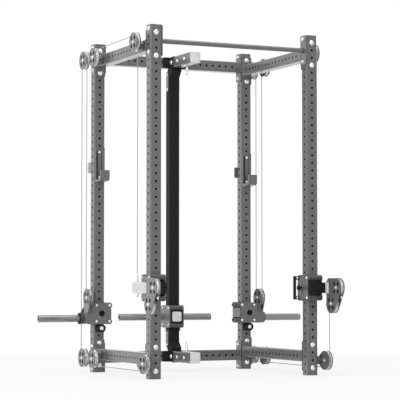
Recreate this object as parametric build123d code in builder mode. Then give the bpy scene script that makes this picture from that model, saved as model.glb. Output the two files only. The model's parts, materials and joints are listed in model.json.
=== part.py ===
from build123d import *
from math import atan2, degrees
import os

# Power cage with two plate-loaded cable columns and a lat column.
# Millimetres, +X right, +Y to the rear, +Z up, origin on the floor under the middle of the outline.

# Cage
tube = 75.0
tube_wall = 3.0
tube_r = 8.0
upright_h = 2246.0
cap_t = 4.0
cap_plug = 20.0
plug_clear = 0.4
cage_w = 1125.0
cage_d = 975.0
hole_pitch = 50.0
hole_r = 8.0
flange_t = 8.0
flange_h = 200.0
flange_r = 10.0
side_rail_low_z = 125.0
side_rail_drop = 121.0
rear_rail_low_z = 100.0
rear_rail_drop = 96.0
bar_r = 16.0
bar_drop = 96.0

# Cable and sheaves
cable_r = 2.5
sheave_pitch_r = 46.0
sheave_rim_r = 52.5
sheave_w = 18.0
groove_mouth = 15.0
groove_root = 6.5
groove_gap = 0.5
axle_r = 6.0
running = 0.05
cheek_r = 63.0
cheek_t = 4.5
cheek_gap = 2.0
cheek_hole_r = 13.0
cheek_hole_at = 36.0
foot_r = 28.0
pulley_out = 50.0
top_front_drop = 98.0
top_front_y = 103.0
top_rear_drop = 106.0
low_z = 98.0
low_front_y = -62.0
loop_y = -64.0

# Rear trolleys
rear_front_y = -88.5
rear_back_y = 46.0
plate_t = 6.0
sleeve_r = 20.0
sleeve_gap = 0.5
rear_bolt_z = 54.0
rear_ear_r = 18.0
rear_half_h = 72.0
rear_out = 121.0
rear_top_out = 66.0
rear_waist = 8.0
horn_r = 24.0
horn_tip = 432.0
horn_plate_x = 60.0
horn_plate_t = 12.0
horn_collar_r = 38.0
horn_collar_w = 20.0
horn_drop = 34.0
trolley_sheave_up = 106.0
bumper_z = 300.0
bumper_r = 27.5
bumper_l = 56.0
bumper_sink_r = 18.0
bumper_sink = 8.0
rest_gap = 1.0

# Front trolleys
front_z = 575.0
front_bolt_z = 65.0
front_ear_r = 17.0
front_waist = 7.0
front_plate_in = 49.0
arm_h = 70.0
arm_front_y = -85.0
arm_back_y = -48.0
arm_out = 70.0
box_w = 35.0
box_wall = 4.0
box_front_y = -94.0
box_back_y = 99.0
stud_r = 6.0
stud_up = 45.0
stud_down = 22.0
pin_r = 7.8
pin_boss_r = 22.0
pin_boss_t = 8.0
pin_travel = 14.0
pin_back = 0.7
knob_r = 17.0
knob_w = 14.0
grip_r = 10.0
grip_y = 104.0
grip_half = 78.0
strap_t = 6.0
strap_w = 24.0

# Swivel heads
housing_r = 20.0
spindle_r = 13.0
collar_r = 22.0
collar_t = 12.0
collar_gap = 0.5
upper_dy = -112.0
lower_dz = -104.0
swivel_back = 4.0

# Hooks for the bar
cup_pin_z = 1400.0
cup_low_z = 1293.0
cup_top_z = 1533.0
cup_back_t = 12.0
cup_reach = 78.0
cup_tray_t = 22.0
cup_lip_t = 14.0
cup_lip_top = 1375.0
cup_w = 66.0
cup_gap = 0.5
cup_pin_r = 7.92
tab_h = 75.0
tab_w = 30.0
tab_t = 10.0

# Lat column
post_w = 75.0
post_front_y = -36.5
post_back_y = 23.5
post_wall = 3.0
post_kink = 36.0
post_kink_h = 66.0
post_kink_flat = 22.0
gusset_r = 18.0
gusset_t = 6.0
gusset_inset = 40.0
neck_l = 54.0
lat_collar = 84.0
lat_collar_t = 8.0
bracket_w = 180.0
arm_l = 280.0
end_cap_t = 5.0
lat_z = 375.5
lat_bolt_z = 58.0
lat_half_h = 78.0
lat_horn_y = 121.5
lat_horn_drop = 5.5
lat_horn_half = 349.0
lat_horn_ear_r = 40.0
cover = 68.0
cover_r = 12.0
cover_t = 8.0
lat_stop_r = 12.0

# Worked out from the sizes above
half_tube = tube / 2
side_rail_top_z = upright_h - side_rail_drop
rear_rail_top_z = upright_h - rear_rail_drop
bar_z = upright_h - bar_drop
top_front_z = upright_h - top_front_drop
top_rear_z = upright_h - top_rear_drop
hole_count = int((upright_h - hole_pitch / 2) // hole_pitch)
x_up = cage_w / 2
swivel_y = low_front_y - sheave_pitch_r
lower_dy = -sheave_pitch_r
front_reach = -swivel_y - upper_dy + cheek_r
rear_reach = lat_horn_y + lat_horn_ear_r
y_front = (front_reach - cage_d - rear_reach) / 2
y_rear = y_front + cage_d
x_face = x_up + half_tube
x_pull = x_face + pulley_out
cheek_in = sheave_w / 2 + cheek_gap
sleeve_off = half_tube + sleeve_gap + sleeve_r
rear_z = bumper_z + bumper_r + rest_gap + rear_half_h
y_loop = y_rear + loop_y
y_loop_front = y_loop - 2 * sheave_pitch_r
y_loop_back = y_loop + 2 * sheave_pitch_r
y_top_front = y_front + top_front_y
y_low_front = y_front + low_front_y
z_loop = rear_z + trolley_sheave_up
y_swivel = y_front + swivel_y
z_upper = front_z
z_lower = front_z + lower_dz
y_upper = y_swivel + upper_dy
y_lower = y_swivel + lower_dy
stud_y = y_top_front - sheave_pitch_r

os.makedirs("parts", exist_ok=True)


def save(part, name):
    """Label one piece and write it to its own file."""
    part.label = name
    export_step(part, f"parts/{name}.step")


def save_pair(part, name):
    """Write a right-hand piece and its mirror image on the left."""
    save(part, f"{name}_right")
    save(mirror(part, about=Plane.YZ), f"{name}_left")


def yz(x):
    """Sketch plane across the cage, with local axes along +Y and +Z."""
    return Plane.YZ.offset(x)


def xz(y):
    """Sketch plane facing the front, with local axes along +X and +Z."""
    return Plane.XZ.offset(-y)


# Uprights: hollow square tube, drilled right through at every pitch, the sides half a pitch lower
def upright(y):
    with BuildPart() as post:
        with BuildSketch():
            with Locations((x_up, y)):
                RectangleRounded(tube, tube, tube_r)
                inside = tube - 2 * tube_wall
                RectangleRounded(inside, inside, tube_r - tube_wall, mode=Mode.SUBTRACT)
        extrude(amount=upright_h)
        with BuildSketch(xz(y)):
            for n in range(hole_count):
                with Locations((x_up, hole_pitch * (n + 1))):
                    Circle(hole_r)
        extrude(amount=tube, both=True, mode=Mode.SUBTRACT)
        with BuildSketch(yz(x_up)):
            for n in range(hole_count + 1):
                with Locations((y, hole_pitch * (n + 0.5))):
                    Circle(hole_r)
        extrude(amount=tube, both=True, mode=Mode.SUBTRACT)
    return post.part


save_pair(upright(y_front), "upright_front")
save_pair(upright(y_rear), "upright_rear")

with BuildPart() as upright_caps:
    with BuildSketch(Plane.XY.offset(upright_h)):
        with GridLocations(cage_w, cage_d, 2, 2):
            with Locations((0, y_front + cage_d / 2)):
                RectangleRounded(tube, tube, tube_r)
    extrude(amount=cap_t)
    with BuildSketch(Plane.XY.offset(upright_h)):
        with GridLocations(cage_w, cage_d, 2, 2):
            with Locations((0, y_front + cage_d / 2)):
                plug = tube - 2 * tube_wall - 2 * plug_clear
                RectangleRounded(plug, plug, tube_r - tube_wall)
    extrude(amount=-cap_plug)
save(upright_caps.part, "upright_caps")


# Rails: drilled tube with a flange welded to each end
def side_rail(z):
    y_near = y_front + half_tube
    y_far = y_rear - half_tube
    with BuildPart() as rail:
        with BuildSketch(xz(y_near + flange_t)):
            with Locations((x_up, z)):
                RectangleRounded(tube, tube, tube_r)
                inside = tube - 2 * tube_wall
                RectangleRounded(inside, inside, tube_r - tube_wall, mode=Mode.SUBTRACT)
        rail_l = y_far - y_near - 2 * flange_t
        extrude(amount=-rail_l)
        with BuildSketch(yz(x_up)):
            with Locations(((y_near + y_far) / 2, z)):
                with GridLocations(hole_pitch, 0, int(rail_l // hole_pitch) - 1, 1):
                    Circle(hole_r)
        extrude(amount=tube, both=True, mode=Mode.SUBTRACT)
        for y in (y_near + flange_t, y_far):
            with BuildSketch(xz(y)):
                with Locations((x_up, z)):
                    RectangleRounded(tube, flange_h, flange_r)
            extrude(amount=flange_t)
    return rail.part


def cross_rail(z):
    x_end = x_up - half_tube
    with BuildPart() as rail:
        with BuildSketch(yz(-x_end + flange_t)):
            with Locations((y_rear, z)):
                RectangleRounded(tube, tube, tube_r)
                inside = tube - 2 * tube_wall
                RectangleRounded(inside, inside, tube_r - tube_wall, mode=Mode.SUBTRACT)
        rail_l = 2 * (x_end - flange_t)
        extrude(amount=rail_l)
        with BuildSketch(xz(y_rear)):
            with Locations((0, z)):
                with GridLocations(hole_pitch, 0, int(rail_l // hole_pitch) - 1, 1):
                    Circle(hole_r)
        extrude(amount=tube, both=True, mode=Mode.SUBTRACT)
        for x in (-x_end, x_end - flange_t):
            with BuildSketch(yz(x)):
                with Locations((y_rear, z)):
                    RectangleRounded(tube, flange_h, flange_r)
            extrude(amount=flange_t)
    return rail.part


save_pair(side_rail(side_rail_low_z), "side_rail_lower")
save_pair(side_rail(side_rail_top_z), "side_rail_upper")
save(cross_rail(rear_rail_low_z), "rear_rail_lower")
save(cross_rail(rear_rail_top_z), "rear_rail_upper")

with BuildPart() as pull_up_bar:
    bar_end = x_up - half_tube
    with BuildSketch(yz(-bar_end + flange_t)):
        with Locations((y_front, bar_z)):
            Circle(bar_r)
    extrude(amount=2 * (bar_end - flange_t))
    for x in (-bar_end, bar_end - flange_t):
        with BuildSketch(yz(x)):
            with Locations((y_front, bar_z)):
                RectangleRounded(tube, flange_h, flange_r)
        extrude(amount=flange_t)
save(pull_up_bar.part, "pull_up_bar")


# Sheaves: grooved wheels that run on fixed axles
def sheave(y, z):
    half = sheave_w / 2
    root = sheave_pitch_r - cable_r - groove_gap
    bore = axle_r + running
    with BuildPart() as wheel:
        with BuildSketch(Plane((x_pull, y, z), x_dir=(1, 0, 0), z_dir=(0, -1, 0))):
            with BuildLine():
                Polyline(
                    (-half, bore),
                    (half, bore),
                    (half, sheave_rim_r),
                    (groove_mouth / 2, sheave_rim_r),
                    (groove_root / 2, root),
                    (-groove_root / 2, root),
                    (-groove_mouth / 2, sheave_rim_r),
                    (-half, sheave_rim_r),
                    close=True,
                )
            make_face()
        revolve(axis=Axis((x_pull, y, z), (1, 0, 0)))
    return wheel.part


sheave_places = {
    "sheave_top_front": (y_top_front, top_front_z),
    "sheave_top_mid": (y_loop_front, top_rear_z),
    "sheave_top_rear": (y_loop_back, top_rear_z),
    "sheave_low_rear": (y_loop_back, low_z),
    "sheave_low_mid": (y_loop_front, low_z),
    "sheave_low_front": (y_low_front, low_z),
    "sheave_weight": (y_loop, z_loop),
    "sheave_swivel_upper": (y_upper, z_upper),
    "sheave_swivel_lower": (y_lower, z_lower),
}
for name, (y, z) in sheave_places.items():
    save_pair(sheave(y, z), name)


def lighten(y, z):
    """Cut the ring of holes that a pulley cheek has round its axle."""
    with Locations((y, z)):
        with PolarLocations(cheek_hole_at, 4, start_angle=45):
            Circle(cheek_hole_r, mode=Mode.SUBTRACT)


# Pulley brackets: two cheeks and an axle on a stand-off, bolted to the outside of the cage
def frame_bracket(y, z, foot_y, foot_z):
    with BuildPart() as bracket:
        with BuildSketch(yz(x_pull + cheek_in)):
            with Locations((y, z)):
                Circle(cheek_r)
            with Locations((foot_y, foot_z)):
                Circle(foot_r)
            make_hull()
            lighten(y, z)
        extrude(amount=cheek_t)
        with BuildSketch(yz(x_pull - cheek_in - cheek_t)):
            with Locations((y, z)):
                Circle(cheek_r)
            with Locations((foot_y, foot_z)):
                Circle(foot_r)
            make_hull()
        extrude(amount=cheek_t)
        with BuildSketch(yz(x_face)):
            with Locations((foot_y, foot_z)):
                Circle(foot_r)
        extrude(amount=x_pull - cheek_in - cheek_t - x_face)
        with BuildSketch(yz(x_pull - cheek_in)):
            with Locations((y, z)):
                Circle(axle_r)
        extrude(amount=2 * cheek_in)
    return bracket.part


bracket_places = [
    (y_top_front, top_front_z, y_top_front, side_rail_top_z),
    (y_loop_front, top_rear_z, y_loop_front, side_rail_top_z),
    (y_loop_back, top_rear_z, y_rear, top_rear_z),
    (y_loop_back, low_z, y_rear, low_z),
    (y_loop_front, low_z, y_loop_front, side_rail_low_z),
    (y_low_front, low_z, y_front, low_z),
]
with BuildPart() as pulley_brackets:
    for place in bracket_places:
        add(frame_bracket(*place))
    mirror(about=Plane.YZ)
save(pulley_brackets.part, "pulley_brackets")


# Rear trolleys: plates front and back of the upright, a horn outboard and a sheave above it
def rear_trolley():
    sleeve_x = x_up - sleeve_off
    with BuildPart() as trolley:
        for y in (y_rear + rear_front_y + plate_t, y_rear + rear_back_y):
            with BuildSketch(xz(y)):
                with BuildLine():
                    Polyline(
                        (sleeve_x - rear_ear_r + rear_waist, rear_z - rear_half_h),
                        (x_up + rear_out - horn_collar_w, rear_z - rear_half_h),
                        (x_up + rear_out, rear_z - rear_half_h + horn_collar_w),
                        (x_up + rear_out, rear_z - horn_collar_w),
                        (x_up + rear_top_out, rear_z + rear_half_h),
                        (sleeve_x - rear_ear_r + rear_waist, rear_z + rear_half_h),
                        close=True,
                    )
                make_face()
                with Locations((sleeve_x, rear_z)):
                    with GridLocations(0, 2 * rear_bolt_z, 1, 2):
                        Circle(rear_ear_r)
            extrude(amount=plate_t)
        depth = rear_back_y - rear_front_y - 2 * plate_t
        y_mid = y_rear + (rear_front_y + rear_back_y) / 2
        horn_z = rear_z - horn_drop
        plate_h = rear_half_h + horn_collar_w
        with BuildSketch(yz(x_up + horn_plate_x)):
            with Locations((y_mid, rear_z - rear_half_h + plate_h / 2)):
                Rectangle(depth, plate_h)
        extrude(amount=horn_plate_t)
        with BuildSketch(yz(x_up + horn_plate_x + horn_plate_t)):
            with Locations((y_mid, horn_z)):
                Circle(horn_r)
        extrude(amount=horn_tip - horn_plate_x - horn_plate_t)
        with BuildSketch(yz(x_up + horn_plate_x + horn_plate_t)):
            with Locations((y_mid, horn_z)):
                Circle(horn_collar_r)
        extrude(amount=rear_out - horn_plate_x - horn_plate_t + horn_collar_w)
        for x in (x_pull - cheek_in - cheek_t, x_pull + cheek_in):
            with BuildSketch(yz(x)):
                with Locations((y_loop, z_loop)):
                    Circle(cheek_r)
                with Locations((y_rear + rear_front_y + plate_t + foot_r, rear_z)):
                    Rectangle(2 * foot_r, 2 * horn_collar_w)
                make_hull()
                lighten(y_loop, z_loop)
            extrude(amount=cheek_t)
        with BuildSketch(yz(x_pull - cheek_in)):
            with Locations((y_loop, z_loop)):
                Circle(axle_r)
        extrude(amount=2 * cheek_in)
    return trolley.part


def rear_sleeves():
    with BuildPart() as sleeves:
        with BuildSketch(xz(y_rear + rear_front_y + plate_t)):
            with Locations((x_up - sleeve_off, rear_z)):
                with GridLocations(0, 2 * rear_bolt_z, 1, 2):
                    Circle(sleeve_r)
        extrude(amount=-(rear_back_y - rear_front_y - 2 * plate_t))
    return sleeves.part


save_pair(rear_trolley(), "rear_trolley")
save_pair(rear_sleeves(), "rear_rollers")


# Front trolleys: plates either side of the upright, arm across the front, cable box outboard
def trolley_plate(x, notched):
    with BuildPart() as plate:
        with BuildSketch(yz(x)):
            with Locations((y_front, front_z)):
                wide = 2 * (sleeve_off + front_ear_r - front_waist)
                tall = 2 * (front_bolt_z + front_ear_r - front_waist)
                Rectangle(wide, tall)
                with GridLocations(2 * sleeve_off, 2 * front_bolt_z, 2, 2):
                    Circle(front_ear_r)
            if notched:
                with Locations((y_front + arm_back_y - tube, front_z)):
                    Rectangle(2 * tube, arm_h, mode=Mode.SUBTRACT)
        extrude(amount=plate_t)
    return plate.part


def front_plates():
    with BuildPart() as plates:
        add(trolley_plate(x_up + front_plate_in, notched=True))
        add(trolley_plate(x_up - front_plate_in - plate_t, notched=False))
        with BuildSketch(yz(x_up - front_plate_in - plate_t)):
            with Locations((y_front, front_z)):
                Circle(pin_boss_r)
        extrude(amount=-pin_boss_t)
        with BuildSketch(yz(x_up - front_plate_in)):
            with Locations((y_front, front_z)):
                Circle(pin_r + running)
        extrude(amount=-(plate_t + pin_boss_t), mode=Mode.SUBTRACT)
    return plates.part


def front_rollers():
    with BuildPart() as rollers:
        with BuildSketch(yz(x_up - front_plate_in)):
            with Locations((y_front, front_z)):
                with GridLocations(2 * sleeve_off, 2 * front_bolt_z, 2, 2):
                    Circle(sleeve_r)
        extrude(amount=2 * front_plate_in)
    return rollers.part


def front_arm():
    grip_x = x_up - front_plate_in - plate_t - strap_t / 2
    with BuildPart() as arm:
        with BuildSketch(xz(y_front + arm_back_y)):
            with Locations((x_up + (arm_out - front_plate_in) / 2, front_z)):
                Rectangle(arm_out + front_plate_in, arm_h)
        extrude(amount=arm_back_y - arm_front_y)
        with BuildSketch(yz(x_up - front_plate_in - plate_t)):
            with Locations((y_front + (sleeve_off + grip_y) / 2, front_z)):
                with GridLocations(0, 2 * front_bolt_z, 1, 2):
                    Rectangle(grip_y - sleeve_off + strap_w, strap_w)
        extrude(amount=-strap_t)
        with BuildSketch(Plane.XY.offset(front_z - grip_half)):
            with Locations((grip_x, y_front + grip_y)):
                Circle(grip_r)
        extrude(amount=2 * grip_half)
    return arm.part


def cable_box():
    box_x = x_up + arm_out + box_w / 2
    with BuildPart() as box:
        with BuildSketch(xz(y_front + box_front_y)):
            with Locations((box_x, front_z)):
                Rectangle(box_w, arm_h)
                Rectangle(box_w - 2 * box_wall, arm_h - 2 * box_wall, mode=Mode.SUBTRACT)
        extrude(amount=-(box_back_y - box_front_y))
        with BuildSketch(Plane.XY.offset(front_z - arm_h / 2)):
            with Locations((x_pull, y_swivel)):
                Circle(housing_r)
        extrude(amount=arm_h)
        with BuildSketch(Plane.XY.offset(front_z - arm_h / 2)):
            with Locations((x_pull, y_swivel)):
                Circle(spindle_r + running)
        extrude(amount=arm_h, mode=Mode.SUBTRACT)
        with BuildSketch(Plane.XY.offset(front_z - arm_h / 2 - stud_down)):
            with Locations((x_pull, stud_y)):
                Circle(stud_r)
        extrude(amount=stud_down + arm_h + stud_up)
    return box.part


def pop_pin():
    tip = x_up - half_tube - pin_back
    knob_x = x_up - front_plate_in - plate_t - pin_boss_t - pin_travel - rest_gap
    with BuildPart() as pin:
        with BuildSketch(yz(tip)):
            with Locations((y_front, front_z)):
                Circle(pin_r)
        extrude(amount=-(tip - knob_x))
        with BuildSketch(yz(knob_x)):
            with Locations((y_front, front_z)):
                Circle(knob_r)
        extrude(amount=-knob_w)
        chamfer(pin.edges().group_by(Axis.X)[0], length=pin_r / 2)
    return pin.part


save_pair(front_plates(), "front_trolley")
save_pair(front_rollers(), "front_rollers")
save_pair(front_arm(), "front_arm")
save_pair(cable_box(), "cable_box")
save_pair(pop_pin(), "pop_pin")


# Swivel heads: a spindle through the cable box's housing, carrying two sheaves between cheeks
def swivel_head():
    half = arm_h / 2
    with BuildPart() as head:
        with BuildSketch(Plane.XY.offset(front_z - half - collar_gap - collar_t)):
            with Locations((x_pull, y_swivel)):
                Circle(collar_r)
        extrude(amount=collar_t)
        with BuildSketch(Plane.XY.offset(front_z - half - collar_gap)):
            with Locations((x_pull, y_swivel)):
                Circle(spindle_r)
        extrude(amount=arm_h + 2 * collar_gap)
        with BuildSketch(Plane.XY.offset(front_z + half + collar_gap)):
            with Locations((x_pull, y_swivel)):
                Circle(collar_r)
        extrude(amount=collar_t)
        for x in (x_pull - cheek_in - cheek_t, x_pull + cheek_in):
            with BuildSketch(yz(x)):
                with Locations((y_upper, z_upper), (y_lower, z_lower)):
                    Circle(cheek_r)
                with Locations((y_swivel + swivel_back - collar_r, z_upper + cheek_r - collar_r)):
                    Circle(collar_r)
                make_hull()
                lighten(y_upper, z_upper)
                lighten(y_lower, z_lower)
            extrude(amount=cheek_t)
        with BuildSketch(yz(x_pull - cheek_in)):
            with Locations((y_upper, z_upper), (y_lower, z_lower)):
                Circle(axle_r)
        extrude(amount=2 * cheek_in)
        clear_r = housing_r + cheek_gap
        with BuildSketch(Plane.XY.offset(front_z - half - collar_gap)):
            with Locations((x_pull, y_swivel)):
                Circle(clear_r)
                Circle(spindle_r, mode=Mode.SUBTRACT)
        extrude(amount=arm_h + 2 * collar_gap, mode=Mode.SUBTRACT)
    return head.part


save_pair(swivel_head(), "swivel_head")


# Hooks for the bar on the rear uprights, each turning on its pin
def bar_hook():
    face = y_rear - half_tube - cup_gap
    back = y_rear + half_tube + cup_gap
    tray = face - cup_back_t - cup_reach
    with BuildPart() as hook:
        with BuildSketch(yz(x_up - cup_w / 2)):
            with BuildLine():
                Polyline(
                    (face, cup_top_z),
                    (face, cup_low_z),
                    (tray, cup_low_z + cup_tray_t / 2),
                    (tray - cup_lip_t, cup_low_z + cup_tray_t),
                    (tray - cup_lip_t, cup_lip_top),
                    (tray, cup_lip_top),
                    (tray, cup_low_z + 2 * cup_tray_t),
                    (tray + cup_tray_t, cup_low_z + cup_tray_t),
                    (face - cup_back_t, cup_low_z + cup_tray_t),
                    (face - cup_back_t, cup_top_z),
                    close=True,
                )
            make_face()
        extrude(amount=cup_w)
        with BuildSketch(xz(face)):
            with Locations((x_up, cup_pin_z)):
                Circle(cup_pin_r)
        extrude(amount=-(back - face))
        with BuildSketch(xz(back)):
            with Locations((x_up, cup_pin_z)):
                RectangleRounded(tab_w, tab_h, flange_r)
        extrude(amount=-tab_t)
    return hook.part


save_pair(bar_hook(), "bar_hook")


# Bumpers that the weight trolleys rest on
with BuildPart() as trolley_bumpers:
    with BuildSketch(xz(y_rear - half_tube)):
        with Locations((-x_up, bumper_z), (x_up, bumper_z)):
            Circle(bumper_r)
    extrude(amount=bumper_l)
    with BuildSketch(xz(y_rear - half_tube - bumper_l)):
        with Locations((-x_up, bumper_z), (x_up, bumper_z)):
            Circle(bumper_sink_r)
    extrude(amount=-bumper_sink, mode=Mode.SUBTRACT)
save(trolley_bumpers.part, "trolley_bumpers")


# Lat column: kinked post between two brackets on the rear rails, then its arms and gusset plates
z_mid = (rear_rail_low_z + rear_rail_top_z) / 2
post_half = rear_rail_top_z - half_tube - z_mid
y_rail_face = y_rear - half_tube


def post_outline(front, back, low, high):
    """Upper half of the post's side outline, from height low up to its end at height high."""
    bend = high - post_kink_h
    Polyline(
        (back, low),
        (back, bend + post_kink_flat),
        (back - post_kink, high),
        (front - post_kink, high),
        (front - post_kink, high - post_kink_flat),
        (front, bend),
        (front, low),
        close=True,
    )


with BuildPart() as lat_post:
    for inset in (0.0, post_wall):
        with BuildSketch(yz(-post_w / 2 + inset)):
            with BuildLine():
                post_outline(
                    y_rear + post_front_y + inset,
                    y_rear + post_back_y - inset,
                    z_mid,
                    z_mid + post_half,
                )
            make_face()
        mode = Mode.SUBTRACT if inset else Mode.ADD
        extrude(amount=post_w - 2 * inset, mode=mode)
    mirror(about=Plane.XY.offset(z_mid))
    for z in (rear_rail_low_z, rear_rail_top_z):
        with BuildSketch(xz(y_rail_face)):
            with Locations((0, z)):
                RectangleRounded(bracket_w, tube, flange_r)
        extrude(amount=flange_t)
        with BuildSketch(xz(y_rail_face - flange_t)):
            with Locations((0, z)):
                Rectangle(tube, tube)
        extrude(amount=neck_l - flange_t)
        with BuildSketch(xz(y_rail_face - neck_l)):
            with Locations((0, z)):
                RectangleRounded(lat_collar, lat_collar, flange_r)
        extrude(amount=lat_collar_t)
save(lat_post.part, "lat_post")

with BuildPart() as lat_arms:
    y_arm = y_rail_face - neck_l - lat_collar_t
    for z in (rear_rail_low_z, rear_rail_top_z):
        with BuildSketch(xz(y_arm)):
            with Locations((0, z)):
                RectangleRounded(tube, tube, tube_r)
                inside = tube - 2 * tube_wall
                RectangleRounded(inside, inside, tube_r - tube_wall, mode=Mode.SUBTRACT)
        extrude(amount=arm_l)
        with BuildSketch(xz(y_arm - arm_l)):
            with Locations((0, z)):
                RectangleRounded(tube, tube, tube_r)
        extrude(amount=end_cap_t)
    y_post = y_rear + (post_front_y + post_back_y) / 2
    stop_z = lat_z - lat_half_h - rest_gap - lat_stop_r
    for way in (-1, 1):
        end = (y_post, z_mid + way * (post_half - gusset_inset))
        tip = (y_post, z_mid + way * (z_mid - stop_z))
        for x in (-post_w / 2 - gusset_t, post_w / 2):
            with BuildSketch(yz(x)):
                with Locations(end, tip):
                    Circle(gusset_r)
                make_hull()
            extrude(amount=gusset_t)
    stop_end = front_plate_in + plate_t
    for x in (-stop_end, post_w / 2 + gusset_t):
        with BuildSketch(yz(x)):
            with Locations((y_post, stop_z)):
                Circle(lat_stop_r)
        extrude(amount=stop_end - post_w / 2 - gusset_t)
save(lat_arms.part, "lat_arms")


# Lat trolley: side plates round the post, with a horn bar behind it
def lat_places(y_shift, z_half):
    return [(y_rear + y_shift, lat_z - z_half), (y_rear + y_shift, lat_z + z_half)]


lat_front_y = post_front_y - sleeve_gap - sleeve_r
lat_back_y = post_back_y + sleeve_gap + sleeve_r
with BuildPart() as lat_trolley:
    for x in (-front_plate_in - plate_t, front_plate_in):
        with BuildSketch(yz(x)):
            with Locations(*lat_places(lat_front_y, lat_bolt_z), *lat_places(lat_back_y, lat_bolt_z)):
                Circle(lat_half_h - lat_bolt_z)
            with Locations((y_rear + lat_horn_y, lat_z - lat_horn_drop)):
                Circle(lat_horn_ear_r)
            make_hull()
        extrude(amount=plate_t)
    with BuildSketch(yz(-lat_horn_half)):
        with Locations((y_rear + lat_horn_y, lat_z - lat_horn_drop)):
            Circle(horn_r)
    extrude(amount=2 * lat_horn_half)
    with BuildSketch(xz(y_rear + lat_front_y)):
        with Locations((0, lat_z)):
            Rectangle(2 * front_plate_in, cover)
    extrude(amount=sleeve_r)
save(lat_trolley.part, "lat_trolley")

with BuildPart() as lat_rollers:
    with BuildSketch(yz(-front_plate_in)):
        with Locations(*lat_places(lat_front_y, lat_bolt_z), *lat_places(lat_back_y, lat_bolt_z)):
            Circle(sleeve_r)
    extrude(amount=2 * front_plate_in)
save(lat_rollers.part, "lat_rollers")

with BuildPart() as lat_cover:
    with BuildSketch(xz(y_rear + lat_front_y - sleeve_r)):
        with Locations((0, lat_z)):
            RectangleRounded(cover, cover, cover_r)
    extrude(amount=cover_t)
save(lat_cover.part, "lat_cover")


# Cables: straight runs between the sheaves and arcs that lie in their grooves
y_front_run = y_top_front - sheave_pitch_r
y_rear_run = y_loop - sheave_pitch_r
y_return_run = y_loop + sheave_pitch_r
y_back_run = y_loop_back + sheave_pitch_r
z_floor_run = low_z - sheave_pitch_r
stud_top = front_z + arm_h / 2 + stud_up
top_turn = 90 + degrees(atan2(top_rear_z - top_front_z, y_loop_front - y_top_front))


def cable_along(line):
    """Sweep the cable's round section along a finished line."""
    path = line.wire()
    with BuildPart() as cable:
        with BuildSketch(Plane(origin=path @ 0, z_dir=path % 0)):
            Circle(cable_r)
        sweep(path=path)
    return cable.part


def straight_run(y, z_low, z_high):
    with BuildPart() as run:
        with BuildSketch(Plane.XY.offset(z_low)):
            with Locations((x_pull, y)):
                Circle(cable_r)
        extrude(amount=z_high - z_low)
    return run.part


with BuildLine(yz(x_pull)) as over_the_top:
    rise = CenterArc((y_top_front, top_front_z), sheave_pitch_r, 180, top_turn - 180)
    fall = CenterArc((y_loop_front, top_rear_z), sheave_pitch_r, top_turn, -top_turn)
    Line(rise @ 1, fall @ 0)

with BuildLine(yz(x_pull)) as round_the_back:
    CenterArc((y_loop_back, top_rear_z), sheave_pitch_r, 180, -180)
    Line((y_back_run, top_rear_z), (y_back_run, low_z))
    CenterArc((y_loop_back, low_z), sheave_pitch_r, 0, -90)
    Line((y_loop_back, z_floor_run), (y_low_front, z_floor_run))
    CenterArc((y_low_front, low_z), sheave_pitch_r, 270, -90)

with BuildLine(yz(x_pull)) as weight_loop:
    Line((y_rear_run, top_rear_z), (y_rear_run, z_loop))
    CenterArc((y_loop, z_loop), sheave_pitch_r, 180, 180)
    Line((y_return_run, z_loop), (y_return_run, top_rear_z))

with BuildPart() as cable_fixed:
    add(cable_along(over_the_top))
    add(cable_along(round_the_back))
    mirror(about=Plane.YZ)
save(cable_fixed.part, "cable_fixed")
save_pair(cable_along(weight_loop), "cable_weight")

with BuildPart() as cable_front:
    add(straight_run(y_front_run, stud_top, top_front_z))
    add(straight_run(y_swivel, low_z, z_lower))
save_pair(cable_front.part, "cable_front")
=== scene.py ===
import json
from math import cos, pi, radians, sin

import bmesh
import bpy
from mathutils import Matrix, Vector


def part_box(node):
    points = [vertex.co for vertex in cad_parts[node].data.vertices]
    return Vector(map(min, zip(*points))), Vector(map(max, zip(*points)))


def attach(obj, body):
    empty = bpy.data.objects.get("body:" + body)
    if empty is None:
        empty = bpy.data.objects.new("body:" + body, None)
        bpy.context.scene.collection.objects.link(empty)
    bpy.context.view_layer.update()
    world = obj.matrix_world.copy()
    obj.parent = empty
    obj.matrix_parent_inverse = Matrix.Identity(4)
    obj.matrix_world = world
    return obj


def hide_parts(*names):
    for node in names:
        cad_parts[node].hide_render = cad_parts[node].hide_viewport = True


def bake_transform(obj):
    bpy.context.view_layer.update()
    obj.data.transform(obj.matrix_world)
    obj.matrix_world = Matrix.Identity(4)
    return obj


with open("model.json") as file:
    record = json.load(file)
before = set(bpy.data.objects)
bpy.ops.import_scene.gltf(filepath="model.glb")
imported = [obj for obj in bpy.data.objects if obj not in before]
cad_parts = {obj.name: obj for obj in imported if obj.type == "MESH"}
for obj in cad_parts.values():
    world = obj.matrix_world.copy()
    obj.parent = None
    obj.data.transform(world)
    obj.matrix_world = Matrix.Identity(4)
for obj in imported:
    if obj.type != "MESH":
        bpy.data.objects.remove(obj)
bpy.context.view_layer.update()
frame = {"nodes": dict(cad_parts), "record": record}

# Sizes in metres of what this script adds, and of the CAD plates that its pieces sit on

# Bolts and nuts
frame_bolt_r = 0.0165
frame_bolt_h = 0.0085
plate_bolt_r = 0.0085
plate_bolt_h = 0.0055
axle_bolt_r = 0.0105
lat_bolt_r = 0.011
lat_bolt_h = 0.007
stop_bolt_r = 0.0095
stop_bolt_h = 0.005
bumper_bolt_r = 0.0185
bumper_bolt_h = 0.0075
nut_h = 0.009
nut_to_head = 0.8
stud_nut_r = 0.011
stud_nut_h = 0.01
slab_bevel = 0.001

# Frame and trolley plates
rail_flange_t = 0.008
weld_r = 0.0035
weld_corner = 0.008
plate_t = 0.006
strap_t = 0.006
rest_gap = 0.001

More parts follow.
